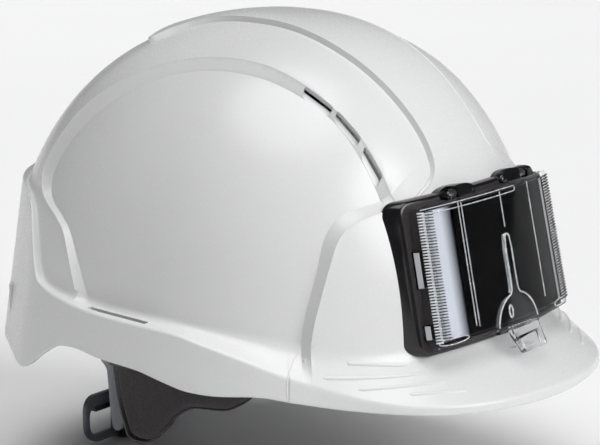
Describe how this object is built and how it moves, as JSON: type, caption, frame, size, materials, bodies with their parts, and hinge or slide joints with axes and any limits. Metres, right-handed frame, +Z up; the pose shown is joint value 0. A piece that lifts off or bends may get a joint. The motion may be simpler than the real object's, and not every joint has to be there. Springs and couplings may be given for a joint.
{
  "type": "safety helmet",
  "caption": "Vented mid-peak safety helmet with raised crown band, sunk side panels, hinged clear card holder and slip-ratchet nape adjuster.",
  "frame": {"origin": "on the head's vertical axis, in the plane of the dome's base and 12 mm in front of the dome's centre, where the wearer's head enters", "axes": "+Z up through the crown, -Y towards the peak, the wearer's right is -X"},
  "size_m": [0.2274, 0.2776, 0.2096],
  "materials": {
    "shell_white": "satin gloss moulded",
    "holder_black": "gloss moulded",
    "rivet_black": "matte",
    "insert_black": "satin",
    "card_white": "laminated, blank",
    "clear_cover": "clear polycarbonate",
    "clear_latch": "clear polycarbonate",
    "pin_steel": "satin",
    "harness_black": "moulded",
    "webbing": "woven webbing",
    "pad_black": "soft pad",
    "band_black": "satin moulded",
    "sweatband_black": "perforated",
    "felt_grey": "suede-like facing",
    "cradle_grey": "satin moulded",
    "loop_grey": "satin moulded",
    "spring_steel": "bright"
  },
  "bodies": {
    "helmet": {"shell": "shell_white", "holder_base": "holder_black", "holder_rivets": "rivet_black", "card_insert": "insert_black", "id_card": "card_white", "harness_keys": "harness_black", "strap_front_right": "webbing", "strap_side": "webbing", "strap_front_left": "webbing", "crown_pad": "pad_black", "headband": "band_black", "sweatband": "sweatband_black", "wing_pad_right": "felt_grey", "wing_pad_left": "felt_grey", "arm_guide_right": "harness_black", "arm_guide_left": "harness_black"},
    "cover": {"holder_cover": "clear_cover", "hinge_pins": "pin_steel"},
    "latch": {"thumb_latch": "clear_latch"},
    "nape_unit": {"nape_cradle": "cradle_grey", "nape_pad": "pad_black", "adjuster_housing": "harness_black", "housing_screws": "pin_steel", "adjuster_loop": "loop_grey", "button_spring": "spring_steel"},
    "button": {"release_button": "loop_grey"}
  },
  "joints": [
    {"name": "cover_hinge", "type": "hinge", "parent": "helmet", "child": "cover", "pos_m": [0, -0.09287, 0.07806], "axis": [-1, 0, 0], "range_deg": [0, 105]},
    {"name": "latch_flex", "type": "hinge", "parent": "cover", "child": "latch", "pos_m": [0, -0.10273, 0.06053], "axis": [-1, 0, 0], "range_deg": [0, 6], "stiffness_Nm_per_rad": 0.6},
    {"name": "size_slide", "type": "slide", "parent": "helmet", "child": "nape_unit", "axis": [0, 1, 0], "range_m": [-0.012, 0.016]},
    {"name": "button_press", "type": "slide", "parent": "nape_unit", "child": "button", "axis": [0, -1, 0], "range_m": [0, 0.0015], "stiffness_N_per_m": 600, "deforming": ["button_spring"]}
  ]
}
